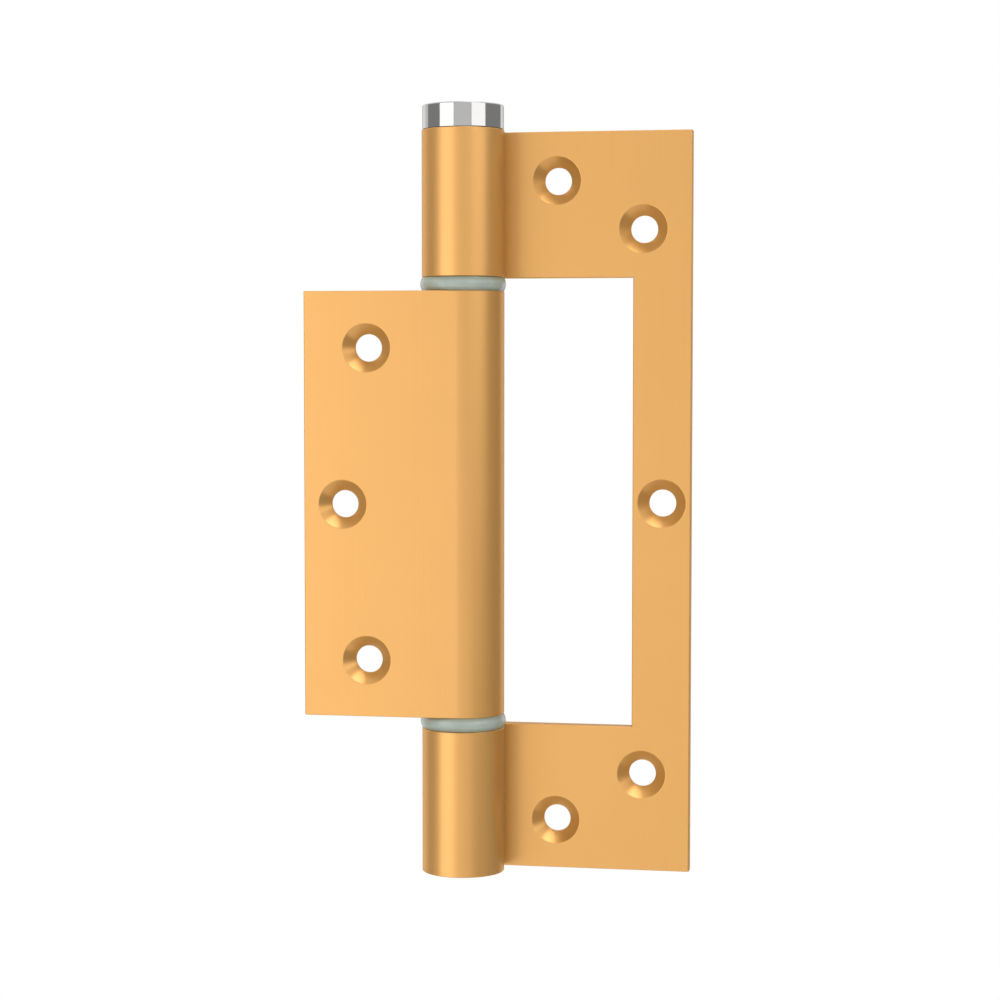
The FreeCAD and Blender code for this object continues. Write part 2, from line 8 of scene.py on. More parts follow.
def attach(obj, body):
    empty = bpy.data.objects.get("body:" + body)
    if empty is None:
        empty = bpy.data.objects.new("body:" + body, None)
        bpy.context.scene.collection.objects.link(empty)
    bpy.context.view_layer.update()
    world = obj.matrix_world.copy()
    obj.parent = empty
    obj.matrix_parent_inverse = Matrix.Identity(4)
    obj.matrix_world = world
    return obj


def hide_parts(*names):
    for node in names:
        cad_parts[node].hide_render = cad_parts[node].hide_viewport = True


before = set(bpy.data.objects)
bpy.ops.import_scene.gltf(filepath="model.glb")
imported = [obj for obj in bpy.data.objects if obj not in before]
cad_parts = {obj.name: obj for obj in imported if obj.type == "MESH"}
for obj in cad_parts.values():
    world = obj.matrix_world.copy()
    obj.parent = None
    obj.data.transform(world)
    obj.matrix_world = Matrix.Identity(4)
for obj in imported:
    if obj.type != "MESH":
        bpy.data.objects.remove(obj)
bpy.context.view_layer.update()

# Frame leaf. One length of extruded aluminium, satin gold anodised after it was sawn, milled and
# drilled: a keyed barrel whose back runs out into a flat leaf. The middle is milled away, which
# leaves the window that the door leaf closes into, and an end knuckle above and below it.
MM = 0.001
# Sizes are in millimetres up to the studio, and those of round shapes are radii.
TINY = 0.001
BARREL = 10.0
BORE = 7.5
LEAF_FRONT = 6.5
CORNER = 0.5
TIP_ROUND = 0.4
EDGE_BREAK = 0.15
KEY_ANGLE = math.radians(45)
KEY_HALF_WIDTH = 1.5
KEY_FLOOR = 8.5
FRAME_REACH = 54.8
FRAME_END = 90.0
WEB_EDGE = 40.6
KNUCKLE_END = 54.7
HOLE = 3.3
COUNTERSINK = 5.9
FRAME_HOLES = ((21.9, 78.2), (43.0, 66.4), (47.7, 0), (43.0, -66.4), (21.9, -78.2))
GRUB_HOLE = 2.5
GRUB_ANGLE = math.radians(150)
GRUB_HEIGHT = 72.35
BARREL_STEPS = 80
BORE_STEPS = 72
CORNER_STEPS = 12
TIP_STEPS = 6
SMOOTH_ANGLE = math.radians(30)


def open_piece(name):
    """An empty mesh object at the origin, open for editing."""
    bpy.ops.object.select_all(action="DESELECT")
    bpy.ops.mesh.primitive_plane_add()
    piece = bpy.context.object
    piece.name = name
    bpy.ops.object.mode_set(mode="EDIT")
    bpy.ops.mesh.select_mode(type="VERT")
    bpy.ops.mesh.select_all(action="SELECT")
    bpy.ops.mesh.delete(type="VERT")
    return piece


def start_at(x, y, z):
    """Leaves one selected point at a place in the open mesh, from which a line is drawn."""
    bpy.ops.mesh.select_mode(type="VERT")
    bpy.ops.mesh.select_all(action="DESELECT")
    bpy.ops.mesh.primitive_plane_add(size=MM, location=(x * MM, y * MM, z * MM))
    bpy.ops.mesh.merge(type="CENTER")


def push(x, y, z):
    """Extrudes what is selected by a distance."""
    bpy.ops.mesh.extrude_region_move(
        TRANSFORM_OT_translate={"value": (x * MM, y * MM, z * MM)}
    )


def draw_to(x, y, z):
    """Extrudes the selected point in a straight line to a place."""
    points = bmesh.from_edit_mesh(bpy.context.object.data).verts
    here = next(p.co for p in points if p.select) / MM
    push(x - here.x, y - here.y, z - here.z)


def swing(x, y, degrees, steps):
    """Sweeps what is selected round an upright line, anticlockwise seen from above."""
    bpy.ops.mesh.spin(
        steps=steps, angle=-math.radians(degrees), center=(x * MM, y * MM, 0), axis=(0, 0, 1)
    )


def near(first, second):
    """Tells whether two places along an axis are the same."""
    return abs(first - second) < TINY


def pick(kind, test):
    """Selects only the vertices, edges or faces whose middle, in millimetres, passes the test."""
    bpy.ops.mesh.select_all(action="DESELECT")
    bpy.ops.mesh.select_mode(type=kind)
    data = bpy.context.object.data
    mesh = bmesh.from_edit_mesh(data)
    if kind == "VERT":
        for point in mesh.verts:
            point.select_set(test(point.co / MM))
    elif kind == "EDGE":
        for edge in mesh.edges:
            edge.select_set(test((edge.verts[0].co + edge.verts[1].co) / 2 / MM))
    else:
        for face in mesh.faces:
            face.select_set(test(face.calc_center_median() / MM))
    mesh.select_flush_mode()
    bmesh.update_edit_mesh(data)


def weld():
    """Merges points that meet, and turns every face outwards."""
    pick("VERT", lambda p: True)
    bpy.ops.mesh.remove_doubles(threshold=TINY * MM)
    bpy.ops.mesh.normals_make_consistent(inside=False)


def lathe(name, corners, rounds, steps=96, close=False):
    """A turned piece about the Z axis, from the corners of its section: radius and height.

    rounds is a list of a corner's number, the length by which it is cut back, and the steps.
    """
    piece = open_piece(name)
    start_at(corners[0][0], 0, corners[0][1])
    for radius, height in corners[1:]:
        draw_to(radius, 0, height)
    if close:
        draw_to(corners[0][0], 0, corners[0][1])
    weld()
    for number, back, segments in rounds:
        corner = Vector((corners[number][0], 0, corners[number][1]))
        pick("VERT", lambda p: (p - corner).length < TINY)
        bpy.ops.mesh.bevel(offset=back * MM, segments=segments, affect="VERTICES")
    pick("EDGE", lambda p: True)
    swing(0, 0, 360, steps)
    weld()
    bpy.ops.object.mode_set(mode="OBJECT")
    return piece


def set_in_place(piece, rotation, place):
    """Turns and moves a piece, and puts its place into its mesh."""
    piece.rotation_euler = rotation
    piece.location = Vector(place) * MM
    bpy.ops.object.select_all(action="DESELECT")
    piece.select_set(True)
    bpy.context.view_layer.objects.active = piece
    bpy.ops.object.transform_apply(location=True, rotation=True, scale=True)


def combine(piece, tool, operation, places=((0, 0, 0),)):
    """Cuts the tool out of a piece at each place, or joins it on, and removes the tool."""
    bpy.context.view_layer.objects.active = piece
    for place in places:
        tool.location = Vector(place) * MM
        step = piece.modifiers.new("step", "BOOLEAN")
        step.operation = operation
        step.object = tool
        step.solver = "EXACT"
        bpy.ops.object.modifier_apply(modifier=step.name)
    bpy.data.objects.remove(tool)


def draw_outline(reach, low, web):
    """Draws the outline of barrel and leaf at a height, starting from the barrel's back.

    web is the inner edge of the web beside a window, where the edges get broken, or None.
    """
    across = math.sqrt((BARREL + CORNER) ** 2 - (LEAF_FRONT - CORNER) ** 2)
    lean = math.degrees(math.atan2(LEAF_FRONT - CORNER, across))
    start_at(0, BARREL, low)
    swing(0, 0, 270 + lean, BARREL_STEPS)
    swing(across, LEAF_FRONT - CORNER, -90 - lean, CORNER_STEPS)
    if web:
        draw_to(web - 2 * EDGE_BREAK, LEAF_FRONT, low)
        draw_to(web, LEAF_FRONT, low)
    draw_to(reach - TIP_ROUND, LEAF_FRONT, low)
    swing(reach - TIP_ROUND, LEAF_FRONT + TIP_ROUND, 90, TIP_STEPS)
    draw_to(reach, BARREL - TIP_ROUND, low)
    swing(reach - TIP_ROUND, BARREL - TIP_ROUND, 90, TIP_STEPS)
    if web:
        draw_to(web, BARREL, low)
        draw_to(web - 2 * EDGE_BREAK, BARREL, low)
    draw_to(0, BARREL, low)
    weld()


def draw_keyed_bore(low):
    """Draws the bore and its keyway at a height."""
    flank = math.sqrt(BORE**2 - KEY_HALF_WIDTH**2)
    corners = [
        (flank, KEY_HALF_WIDTH),
        (KEY_FLOOR, -KEY_HALF_WIDTH),
        (KEY_FLOOR, KEY_HALF_WIDTH),
        (flank, KEY_HALF_WIDTH),
    ]
    key = [
        (
            along * math.cos(KEY_ANGLE) - side * math.sin(KEY_ANGLE),
            along * math.sin(KEY_ANGLE) + side * math.cos(KEY_ANGLE),
        )
        for along, side in corners
    ]
    start_at(*key[0], low)
    swing(0, 0, 360 - 2 * math.degrees(math.asin(KEY_HALF_WIDTH / BORE)), BORE_STEPS)
    for x, y in key[1:]:
        draw_to(x, y, low)
    weld()


def fill_section(web):
    """Fills in the section between outline and bore, with the web's part as a face of its own."""
    if web:
        pick("VERT", lambda p: near(p.x, web))
        bpy.ops.mesh.edge_face_add()
        pick("EDGE", lambda p: p.x > web - TINY)
        bpy.ops.mesh.edge_face_add()
    pick("EDGE", lambda p: not web or p.x < web + TINY)
    bpy.ops.mesh.fill()
    weld()


def break_edges():
    """Breaks the edges round the selected faces."""
    bpy.ops.mesh.inset(thickness=EDGE_BREAK * MM, depth=EDGE_BREAK * MM)


def leave_window(web, shelf):
    """Carries only the web on from the shelf to the middle, and breaks the window's edges."""
    pick("FACE", lambda p: near(p.z, shelf) and p.x > web)
    push(0, 0, -shelf)
    weld()
    pick("FACE", lambda p: near(p.z, shelf))
    break_edges()
    pick("VERT", lambda p: near(p.z, shelf) and near(p.x, web))
    bpy.ops.transform.translate(value=(0, 0, EDGE_BREAK * MM))
    pick("EDGE", lambda p: near(p.x, web) and shelf + 1 < p.z < -1)
    bpy.ops.mesh.bevel(offset=EDGE_BREAK * MM, segments=1, affect="EDGES")


def extruded_leaf(name, reach, end, web=None, window_end=0):
    """A sawn length of the extrusion, from its lower half and that half's mirror image.

    web is the inner edge of the web that a milled window leaves, and window_end half the
    window's height.
    """
    leaf = open_piece(name)
    low = EDGE_BREAK - end
    draw_outline(reach, low, web)
    draw_keyed_bore(low)
    fill_section(web)
    shelf = -window_end - EDGE_BREAK if web else 0
    pick("FACE", lambda p: True)
    push(0, 0, shelf - low)
    weld()
    if web:
        leave_window(web, shelf)
    pick("FACE", lambda p: near(p.z, low))
    break_edges()
    pick("FACE", lambda p: near(p.z, 0))
    bpy.ops.mesh.delete(type="ONLY_FACE")
    bpy.ops.object.mode_set(mode="OBJECT")
    mirror = leaf.modifiers.new("mirror", "MIRROR")
    mirror.use_axis = (False, False, True)
    mirror.merge_threshold = TINY * MM
    bpy.ops.object.modifier_apply(modifier=mirror.name)
    bpy.ops.object.mode_set(mode="EDIT")
    weld()
    bpy.ops.object.mode_set(mode="OBJECT")
    return leaf


def countersink_tool():
    """What a countersink leaves free: a 90 degree cone with a rounded lip, over a straight hole."""
    bottom = -5
    top = 2
    skin = 0.002
    outside = COUNTERSINK + 0.4
    lip = 3
    throat = 2
    tool = lathe(
        "countersink_tool",
        [
            (0, bottom),
            (HOLE, bottom),
            (HOLE, HOLE - COUNTERSINK),
            (COUNTERSINK, skin),
            (outside, skin),
            (outside, top),
            (0, top),
        ],
        [(lip, 0.11, 4), (throat, 0.06, 2)],
    )
    set_in_place(tool, (math.pi / 2, 0, 0), (0, 0, 0))
    return tool


def put(tree, kind, inputs=(), **settings):
    """Adds a node with its settings, and gives each named input a value or a link."""
    new = tree.nodes.new(kind)
    for name, value in settings.items():
        setattr(new, name, value)
    for name, value in dict(inputs).items():
        socket = new.inputs[name]
        if isinstance(value, bpy.types.NodeSocket):
            tree.links.new(value, socket)
        else:
            socket.default_value = value
    return new


def effect(name):
    """A node group that takes a colour and a roughness, and gives them back with a relief."""
    group = bpy.data.node_groups.new(name, "ShaderNodeTree")
    face = group.interface
    for way in ("INPUT", "OUTPUT"):
        face.new_socket("Colour", in_out=way, socket_type="NodeSocketColor")
        face.new_socket("Roughness", in_out=way, socket_type="NodeSocketFloat")
    face.new_socket("Height", in_out="OUTPUT", socket_type="NodeSocketFloat")
    return group, put(group, "NodeGroupInput"), put(group, "NodeGroupOutput")


def noise(tree, scale, detail, stretch=(1, 1, 1)):
    """Noise fixed to the piece, with its grain drawn out along an axis."""
    place = put(tree, "ShaderNodeTexCoord")
    mapping = put(tree, "ShaderNodeMapping", {"Vector": place.outputs["Object"], "Scale": stretch})
    texture = put(
        tree,
        "ShaderNodeTexNoise",
        {"Vector": mapping.outputs["Vector"], "Scale": scale, "Detail": detail},
    )
    return texture.outputs["Fac"]


def spread(tree, value, low, high):
    """Stretches noise, which mostly keeps between 0.3 and 0.7, over a range."""
    ranged = put(
        tree,
        "ShaderNodeMapRange",
        {"Value": value, "From Min": 0.3, "From Max": 0.7, "To Min": low, "To Max": high},
    )
    return ranged.outputs["Result"]


def product(tree, first, second):
    """Two values multiplied."""
    return put(tree, "ShaderNodeMath", {0: first, 1: second}, operation="MULTIPLY").outputs[0]


def tinted(tree, colour, factor):
    """A colour made lighter or darker by a factor."""
    scaled = put(
        tree, "ShaderNodeVectorMath", {"Vector": colour, "Scale": factor}, operation="SCALE"
    )
    return scaled.outputs["Vector"]


def give_back(group, given, made, shade, roughening, height):
    """Ends an effect with a factor for its colour, a factor for its roughness, and its relief."""
    group.links.new(tinted(group, given.outputs["Colour"], shade), made.inputs["Colour"])
    rough = product(group, given.outputs["Roughness"], roughening)
    group.links.new(rough, made.inputs["Roughness"])
    group.links.new(height, made.inputs["Height"])


def mixed(tree, factor, first, second, kind="FLOAT"):
    """Two values, or two colours, mixed by a factor."""
    inputs = {"Factor": factor, "A": first, "B": second}
    return put(tree, "ShaderNodeMix", inputs, data_type=kind).outputs["Result"]


def coated(name, group, colour, roughness, bump, depth, **constants):
    """A material whose colour, roughness and relief come from a group, with fixed shader values."""
    material = bpy.data.materials.new(name)
    material.use_nodes = True
    tree = material.node_tree
    shader = tree.nodes["Principled BSDF"]
    surface = put(tree, "ShaderNodeGroup", node_tree=group)
    surface.inputs["Colour"].default_value = (*colour, 1)
    surface.inputs["Roughness"].default_value = roughness
    relief = put(
        tree,
        "ShaderNodeBump",
        {"Height": surface.outputs["Height"], "Strength": bump, "Distance": depth * MM},
    )
    tree.links.new(surface.outputs["Colour"], shader.inputs["Base Color"])
    tree.links.new(surface.outputs["Roughness"], shader.inputs["Roughness"])
    tree.links.new(relief.outputs["Normal"], shader.inputs["Normal"])
    for socket, value in constants.items():
        shader.inputs[socket.replace("_", " ")].default_value = value
    return material


def complete(piece, material, body, cad_node):
    """Shades a finished piece, and gives it its finish, its body and the CAD node it stands for."""
    bpy.ops.object.select_all(action="DESELECT")
    piece.select_set(True)
    bpy.context.view_layer.objects.active = piece
    bpy.ops.object.shade_smooth_by_angle(angle=SMOOTH_ANGLE)
    even = piece.modifiers.new("even", "WEIGHTED_NORMAL")
    even.keep_sharp = True
    bpy.ops.object.modifier_apply(modifier=even.name)
    piece.data.materials.clear()
    piece.data.materials.append(material)
    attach(piece, body)
    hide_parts(cad_node)


def size_along(tree, axis, output, low, high):
    """Tells where a coordinate's or a normal's size along an axis lies between two limits."""
    place = put(tree, "ShaderNodeTexCoord")
    split = put(tree, "ShaderNodeSeparateXYZ", {0: place.outputs[output]})
    size = put(tree, "ShaderNodeMath", {0: split.outputs[axis]}, operation="ABSOLUTE")
    above = put(tree, "ShaderNodeMath", {0: size.outputs[0], 1: low}, operation="GREATER_THAN")
    below = put(tree, "ShaderNodeMath", {0: size.outputs[0], 1: high}, operation="LESS_THAN")
    return product(tree, above.outputs[0], below.outputs[0])


# The die leaves lines along the extrusion that the etch before anodising softens but doesn't
# remove, and the saw leaves fine lines across its ends. The countersinks, the only faces beyond
# the barrel that lean 45 degrees, are cut smoother than the rest and show no lines.
CUT_SMOOTH = 0.7
LEAF_START = 12.0
ETCH_SHARE = 0.35
NO_RELIEF = 0.5

group, given, made = effect("satin_anodising")
die_lines = noise(group, scale=2600, detail=4, stretch=(1, 1, 0.006))
saw_lines = noise(group, scale=1800, detail=2, stretch=(0.03, 1, 1))
etch = noise(group, scale=9000, detail=2)
cloud = noise(group, scale=60, detail=2)
on_end = size_along(group, "Z", "Normal", low=0.9, high=2)
leaning = size_along(group, "Y", "Normal", low=0.6, high=0.8)
on_leaf = size_along(group, "X", "Object", low=LEAF_START * MM, high=1)
cut = product(group, leaning, on_leaf)
lines = mixed(group, on_end, die_lines, saw_lines)
shade = product(group, spread(group, lines, 0.99, 1.01), spread(group, cloud, 0.99, 1.01))
rough = product(group, spread(group, lines, 0.95, 1.05), spread(group, etch, 0.97, 1.03))
rough = mixed(group, cut, rough, CUT_SMOOTH)
height = mixed(group, cut, mixed(group, ETCH_SHARE, lines, etch), NO_RELIEF)
give_back(group, given, made, shade, rough, height)
gold = coated(
    "gold_anodised_aluminium",
    group,
    colour=(0.9, 0.48, 0.15),
    roughness=0.4,
    bump=0.12,
    depth=0.01,
    Metallic=0.8,
    Specular_Tint=(0.8, 0.66, 0.45, 1),
    Coat_Weight=0.3,
    Coat_Roughness=0.25,
)

# Gold reflected in gold comes out redder and lighter than it looks in the photograph, so the
# rays of a reflection see a paler, darker colour than the dye: painted shade on the gold's
# reflections.
PAINTED_REFLECTION_SHADE = (0.48, 0.36, 0.165, 1)
tree = gold.node_tree
dye = tree.nodes["Principled BSDF"].inputs["Base Color"]
reflected = put(tree, "ShaderNodeLightPath").outputs["Is Glossy Ray"]
# Painted shade: the gold's colour as reflections see it is darker and paler.
shaded_reflection_colour = mixed(tree, reflected, dye.links[0].from_socket, PAINTED_REFLECTION_SHADE, "RGBA")
tree.links.new(shaded_reflection_colour, dye)

frame_leaf = extruded_leaf(
    "frame_leaf_extrusion", FRAME_REACH, FRAME_END, WEB_EDGE, KNUCKLE_END
)
combine(
    frame_leaf, countersink_tool(), "DIFFERENCE", [(x, LEAF_FRONT, z) for x, z in FRAME_HOLES]
)
inside = BORE - 2.5
outside = BARREL + 2
drill = [(0, inside), (GRUB_HOLE, inside), (GRUB_HOLE, outside), (0, outside)]
grub_drill = lathe("grub_drill", drill, [], steps=48)
set_in_place(grub_drill, (0, math.pi / 2, GRUB_ANGLE), (0, 0, 0))
combine(frame_leaf, grub_drill, "DIFFERENCE", [(0, 0, GRUB_HEIGHT), (0, 0, -GRUB_HEIGHT)])
complete(frame_leaf, gold, "frame", "frame_leaf")

# Sleeves. Drawn steel tube, zinc plated, pressed into the two end knuckles and drilled through
# with them for the grub screws. The CAD shapes stay, and get their finish here.
def dress(material, *names):
    """Gives CAD nodes their finish."""
    for name in names:
        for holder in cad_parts[name].material_slots:
            holder.material = material


group, given, made = effect("drawn_zinc")
drawn = noise(group, scale=1500, detail=3, stretch=(1, 1, 0.05))
spangle = noise(group, scale=500, detail=3)
shade = product(group, spread(group, drawn, 0.94, 1.05), spread(group, spangle, 0.9, 1.06))
give_back(group, given, made, shade, spread(group, spangle, 0.8, 1.25), drawn)
zinc = coated(
    "zinc_plate",
    group,
    colour=(0.55, 0.56, 0.58),
    roughness=0.34,
    bump=0.3,
    depth=0.02,
    Metallic=1.0,
)
dress(zinc, "upper_sleeve", "lower_sleeve")

# Lower pivot. A ground steel pin that stays in the lower sleeve, lightly oiled. The lathe and the
# grinding wheel leave fine rings round it.
group, given, made = effect("lathe_rings")
rings = noise(group, scale=4500, detail=2, stretch=(0.02, 0.02, 1))
oil = noise(group, scale=220, detail=3)
shade = product(group, spread(group, rings, 0.93, 1.05), spread(group, oil, 0.92, 1.04))
give_back(group, given, made, shade, spread(group, oil, 0.75, 1.3), rings)
turned_steel = coated(
    "turned_steel",
    group,
    colour=(0.58, 0.58, 0.6),
    roughness=0.28,
    bump=0.25,
    depth=0.01,
    Metallic=1.0,
)
dress(turned_steel, "lower_pivot")

# Bottom plug. A moulded disc with a rib for the keyway, pressed into the lower knuckle just inside
# its sawn end. Dark polypropylene with a fine spark-eroded texture.
group, given, made = effect("moulded_texture")
pits = noise(group, scale=5200, detail=3)
flow = noise(group, scale=150, detail=2)
give_back(
    group, given, made, spread(group, flow, 0.9, 1.12), spread(group, pits, 0.88, 1.12), pits
)
moulding = group
dark_plastic = coated(
    "dark_plastic",
    moulding,
    colour=(0.018, 0.018, 0.019),
    roughness=0.5,
    bump=0.35,
    depth=0.03,
)
dress(dark_plastic, "bottom_plug")

# Grub screws. Black oxide steel with a hexagon socket, one through each end knuckle and its sleeve
# on the hidden side: the upper locks the spindle, the lower holds the pivot.
GRUB_RADIUS = 2.48
GRUB_POINT = 0.58
GRUB_INNER = 4.3
GRUB_OUTER = 9.6
GRUB_KEY = 2.5
GRUB_KEY_DEPTH = 2.4
GRUB_LEAD = 0.12

group, given, made = effect("black_oxide")
oxide = noise(group, scale=1400, detail=4)
give_back(
    group, given, made, spread(group, oxide, 0.7, 1.4), spread(group, oxide, 0.8, 1.2), oxide
)
scale_oxide = group
oxide_steel = coated(
    "black_oxide_steel",
    scale_oxide,
    colour=(0.06, 0.06, 0.065),
    roughness=0.4,
    bump=0.3,
    depth=0.01,
    Metallic=1.0,
)


def half_corners(flats):
    """A hexagon's radius over its corners, from its width across flats."""
    return flats / 2 / math.cos(math.pi / 6)


def hexagon_bar(flats, bottom, top):
    """An upright hexagonal bar on the Z axis."""
    bpy.ops.object.select_all(action="DESELECT")
    bpy.ops.mesh.primitive_cylinder_add(
        vertices=6,
        radius=half_corners(flats) * MM,
        depth=(top - bottom) * MM,
        location=(0, 0, (top + bottom) / 2 * MM),
    )
    bpy.ops.object.transform_apply(location=True, rotation=False, scale=False)
    return bpy.context.object


def hexagon_tool(flats, bottom, top, lead):
    """What a hexagon socket leaves free, with a lead-in cone at its mouth."""
    tool = hexagon_bar(flats, bottom, top)
    corner = half_corners(flats)
    cone = lathe(
        "lead_in",
        [
            (0, top - 2 * lead),
            (corner - lead, top - lead),
            (corner + lead, top + lead),
            (0, top + lead),
        ],
        [],
        steps=48,
    )
    combine(tool, cone, "UNION")
    return tool


def twin(piece, name, rotation, place):
    """A second piece like the first, with a mesh of its own, turned and moved into place."""
    copy = piece.copy()
    copy.data = piece.data.copy()
    copy.name = name
    bpy.context.collection.objects.link(copy)
    set_in_place(copy, rotation, place)
    return copy


lock_screw = lathe(
    "lock_screw_head",
    [
        (0, GRUB_INNER),
        (GRUB_RADIUS - GRUB_POINT, GRUB_INNER),
        (GRUB_RADIUS, GRUB_INNER + GRUB_POINT),
        (GRUB_RADIUS, GRUB_OUTER - 0.3),
        (GRUB_RADIUS - 0.28, GRUB_OUTER),
        (0, GRUB_OUTER),
    ],
    [(3, 0.08, 2), (4, 0.08, 2)],
    steps=64,
)
grub_socket = hexagon_tool(GRUB_KEY, GRUB_OUTER - GRUB_KEY_DEPTH, GRUB_OUTER, GRUB_LEAD)
combine(lock_screw, grub_socket, "DIFFERENCE")
set_in_place(lock_screw, (0, math.pi / 2, GRUB_ANGLE), (0, 0, GRUB_HEIGHT))
pivot_screw = twin(lock_screw, "pivot_screw_head", (0, 0, 0), (0, 0, -2 * GRUB_HEIGHT))
complete(lock_screw, oxide_steel, "frame", "lock_screw")
complete(pivot_screw, oxide_steel, "frame", "pivot_screw")

# Door leaf. The same extrusion turned half a turn about the pivot and sawn shorter, so that it
# drops into the window when the door is shut. Its leaf carries three countersunk holes.
DOOR_REACH = 37.25
DOOR_END = 51.3
DOOR_HOLES = ((-21.8, 37.65), (-27.7, 0), (-21.8, -37.65))

door_leaf = extruded_leaf("door_leaf_extrusion", DOOR_REACH, DOOR_END)
set_in_place(door_leaf, (0, 0, math.pi), (0, 0, 0))
combine(door_leaf, countersink_tool(), "DIFFERENCE", [(x, -BARREL, z) for x, z in DOOR_HOLES])
complete(door_leaf, gold, "door", "door_leaf")

# Nylon rings. Moulded bushes, translucent and a little green, whose spigots are pressed into the
# middle knuckle. Their crowned rims keep the knuckles apart and carry the door leaf. Towards the
# knuckles their colour is painted darker and warmer: painted shade where they meet the knuckles,
# and painted gold light from the knuckles.
RIM = 10.4
RIM_FOOT = 9.85
RIM_HEAD = 9.95
CROWN_BELOW = 0.85
CROWN_ABOVE = 0.95
RING_GAP = 0.1
RING_BORE = 5.06
SPIGOT_END = 43.3
RIM_MIDDLE = 52.95
RIM_HALF = 1.65
# Painted shade and painted gold light at the rims' ends, where they meet the knuckles.
PAINTED_CONTACT_SHADE = (0.27, 0.29, 0.2, 1)

group, given, made = effect("nylon_rim")
skin = put(
    group,
    "ShaderNodeGroup",
    {"Colour": given.outputs["Colour"], "Roughness": given.outputs["Roughness"]},
    node_tree=moulding,
)
place = put(group, "ShaderNodeTexCoord")
upright = put(group, "ShaderNodeSeparateXYZ", {0: place.outputs["Object"]}).outputs["Z"]
upright = put(group, "ShaderNodeMath", {0: upright}, operation="ABSOLUTE").outputs[0]
from_middle = put(
    group, "ShaderNodeMath", {0: upright, 1: RIM_MIDDLE * MM}, operation="SUBTRACT"
).outputs[0]
from_middle = put(group, "ShaderNodeMath", {0: from_middle}, operation="ABSOLUTE").outputs[0]
# The painted shade grows from the rim's middle towards the knuckles above and below.
contact_shade_mask = put(
    group,
    "ShaderNodeMapRange",
    {"Value": from_middle, "From Min": 0.3 * RIM_HALF * MM, "From Max": RIM_HALF * MM},
    interpolation_type="SMOOTHSTEP",
).outputs["Result"]
rim_with_painted_shade = mixed(group, contact_shade_mask, skin.outputs["Colour"], PAINTED_CONTACT_SHADE, "RGBA")
group.links.new(rim_with_painted_shade, made.inputs["Colour"])
group.links.new(skin.outputs["Roughness"], made.inputs["Roughness"])
group.links.new(skin.outputs["Height"], made.inputs["Height"])
pale_nylon = coated(
    "pale_nylon",
    group,
    colour=(0.43, 0.49, 0.43),
    roughness=0.28,
    bump=0.1,
    depth=0.02,
    Subsurface_Weight=0.2,
    Subsurface_Scale=0.0006,
    Subsurface_Radius=(0.8, 1.0, 0.85),
    Coat_Weight=0.6,
    Coat_Roughness=0.07,
)
upper_ring = lathe(
    "upper_ring_bush",
    [
        (RIM_FOOT, DOOR_END),
        (RIM, DOOR_END + CROWN_BELOW),
        (RIM, KNUCKLE_END - CROWN_ABOVE),
        (RIM_HEAD, KNUCKLE_END - RING_GAP),
        (RING_BORE, KNUCKLE_END - RING_GAP),
        (RING_BORE, SPIGOT_END),
        (BORE, SPIGOT_END),
        (BORE, DOOR_END),
    ],
    [(1, 0.84, 8), (2, 0.84, 8), (4, 0.25, 3), (5, 0.3, 3), (6, 0.3, 3)],
    steps=128,
    close=True,
)
lower_ring = twin(upper_ring, "lower_ring_bush", (math.pi, 0, 0), (0, 0, 0))
complete(upper_ring, pale_nylon, "door", "upper_ring")
complete(lower_ring, pale_nylon, "door", "lower_ring")

# Lower spring holder. Turned steel, pressed into the middle knuckle with a rib in its keyway, and
# slotted for the spring's lower leg.
dress(turned_steel, "lower_spring_holder")

# Torsion spring. Square oil-tempered wire wound to the right in twenty turns, with its ends bent
# up into the holders' slots. It is the sweep of one rounded section.
WIRE_HALF = 1.0
WIRE_ROUND = 0.22
COIL = 5.5
TURNS = 20
PITCH = 2.935
COIL_STEPS = 560
LEG_BEND = 2.2
LEG_LENGTH = 7.0
LEG_STEPS = 8
leg_turn = math.atan2(LEG_BEND, COIL)
swept = 2 * math.pi * TURNS - 2 * leg_turn
coil_start = -PITCH * swept / (4 * math.pi)

spring = open_piece("torsion_spring_coil")
out = Vector((math.cos(leg_turn), math.sin(leg_turn), 0))
section = [
    out * (COIL + across * WIRE_HALF) + Vector((0, 0, coil_start + up * WIRE_HALF))
    for across, up in ((-1, -1), (1, -1), (1, 1), (-1, 1), (-1, -1))
]
start_at(*section[0])
for corner in section[1:]:
    draw_to(*corner)
weld()
pick("VERT", lambda p: True)
bpy.ops.mesh.bevel(offset=WIRE_ROUND * MM, segments=2, affect="VERTICES")
bpy.ops.object.mode_set(mode="OBJECT")
winding = spring.modifiers.new("winding", "SCREW")
winding.angle = swept
winding.screw_offset = PITCH * swept / (2 * math.pi) * MM
winding.steps = COIL_STEPS
winding.render_steps = COIL_STEPS
winding.use_normal_calculate = True
bpy.ops.object.modifier_apply(modifier=winding.name)
bpy.ops.object.mode_set(mode="EDIT")
for end in (-1, 1):
    azimuth = -end * leg_turn
    out = Vector((math.cos(azimuth), math.sin(azimuth), 0))
    tangent = Vector((-math.sin(azimuth), math.cos(azimuth), 0))
    tip = out * COIL + Vector((0, 0, -end * coil_start))
    near_tip = 1.5 * WIRE_HALF
    pick(
        "VERT",
        lambda p: near(p.dot(tangent), tip.dot(tangent)) and (p - tip).length < near_tip,
    )
    bpy.ops.mesh.edge_face_add()
    bpy.ops.mesh.spin(
        steps=LEG_STEPS,
        angle=-math.pi / 2,
        center=(tip + Vector((0, 0, end * LEG_BEND))) * MM,
        axis=out * -1,
    )
    push(0, 0, end * LEG_LENGTH)
weld()
bpy.ops.object.mode_set(mode="OBJECT")
spring_steel = coated(
    "oil_tempered_wire",
    scale_oxide,
    colour=(0.2, 0.2, 0.215),
    roughness=0.36,
    bump=0.3,
    depth=0.01,
    Metallic=1.0,
)
